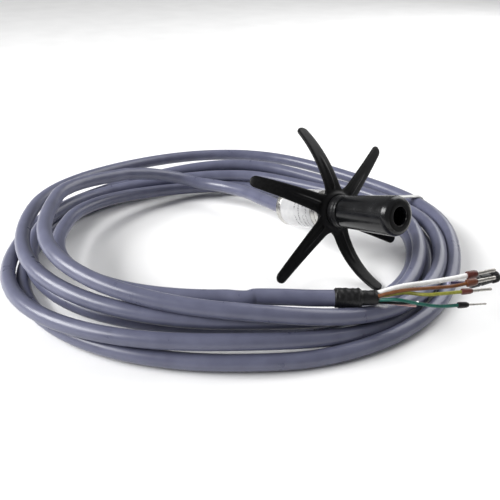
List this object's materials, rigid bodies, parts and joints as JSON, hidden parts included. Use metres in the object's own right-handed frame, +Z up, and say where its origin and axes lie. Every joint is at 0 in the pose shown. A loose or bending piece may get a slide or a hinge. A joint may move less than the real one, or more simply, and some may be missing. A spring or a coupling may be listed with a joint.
{
  "type": "submersible level probe",
  "caption": "Submersible hydrostatic level probe with a steel body, screw-on nose cap, six-armed centring star and a coiled vented cable ending in ferruled wires.",
  "frame": {"origin": "point on the floor below the middle of the probe and its star, the cable left out", "axes": "+Z up, +X along the floor in the direction the probe's nose points, +Y to the left of it"},
  "size_m": [0.2771, 0.2556, 0.0753],
  "materials": {
    "steel": "turned stainless steel",
    "seal_rubber": "moulded rubber",
    "label_film": "white printed film under a clear film",
    "board": "glass-fibre laminate with solder resist",
    "black_moulding": "moulded black plastic",
    "white_tube": "smooth flexible tube",
    "ceramic": "ground ceramic",
    "star_rubber": "moulded flexible rubber",
    "cap_plastic": "glossy moulded plastic",
    "cable_jacket": "blue-grey extruded jacket with a slight sheen",
    "shrink_sleeve": "black heat-shrink tube",
    "collar_red": "moulded collar of a crimped ferrule",
    "collar_orange": "moulded collar of a crimped ferrule",
    "wire_brown": "extruded insulation",
    "wire_yellow": "extruded insulation",
    "wire_green": "extruded insulation",
    "wire_violet": "extruded insulation",
    "tie_nylon": "translucent white nylon"
  },
  "bodies": {
    "probe": {"body_tube": "steel", "rear_cap": "steel", "gland_seal": "seal_rubber", "gland_washer": "steel", "label_band": "label_film", "circuit_board": "board", "board_chip": "black_moulding", "vent_line": "white_tube", "sensor_housing": "steel", "housing_seal": "seal_rubber", "pressure_cell": "ceramic", "cell_seal": "seal_rubber", "cell_ring": "steel", "star_hub": "star_rubber", "star_arm_1": "star_rubber", "star_arm_2": "star_rubber", "star_arm_3": "star_rubber", "star_arm_4": "star_rubber", "star_arm_5": "star_rubber", "star_arm_6": "star_rubber", "star_nut": "cap_plastic", "cable_lead": "cable_jacket", "cable_coil": "cable_jacket", "cable_tail": "cable_jacket", "sleeve_large": "shrink_sleeve", "sleeve_small": "shrink_sleeve", "vent_tube": "white_tube", "vent_ferrule": "collar_red", "wire_brown": "wire_brown", "ferrule_brown": "collar_orange", "wire_yellow": "wire_yellow", "ferrule_yellow": "collar_red", "wire_green": "wire_green", "ferrule_green": "black_moulding", "wire_violet": "wire_violet", "filter_plug": "black_moulding", "filter_cap": "black_moulding", "tie_strap": "tie_nylon", "tie_head": "tie_nylon"},
    "thread_seal": {"cap_seal": "seal_rubber"},
    "cap": {"nose_cap": "cap_plastic"}
  },
  "joints": [
    {"name": "cap_travel", "type": "slide", "parent": "probe", "child": "thread_seal", "axis": [0.9578, 0, 0.2874], "range_m": [0, 0.009]},
    {"name": "cap_turn", "type": "hinge", "parent": "thread_seal", "child": "cap", "pos_m": [0.01226, 0, 0.04064], "axis": [0.9578, 0, 0.2874], "range_deg": [0, 1080]}
  ],
  "couplings": [
    {"joint": "cap_turn", "follows": "cap_travel", "rad_per_m": 2094.4}
  ]
}
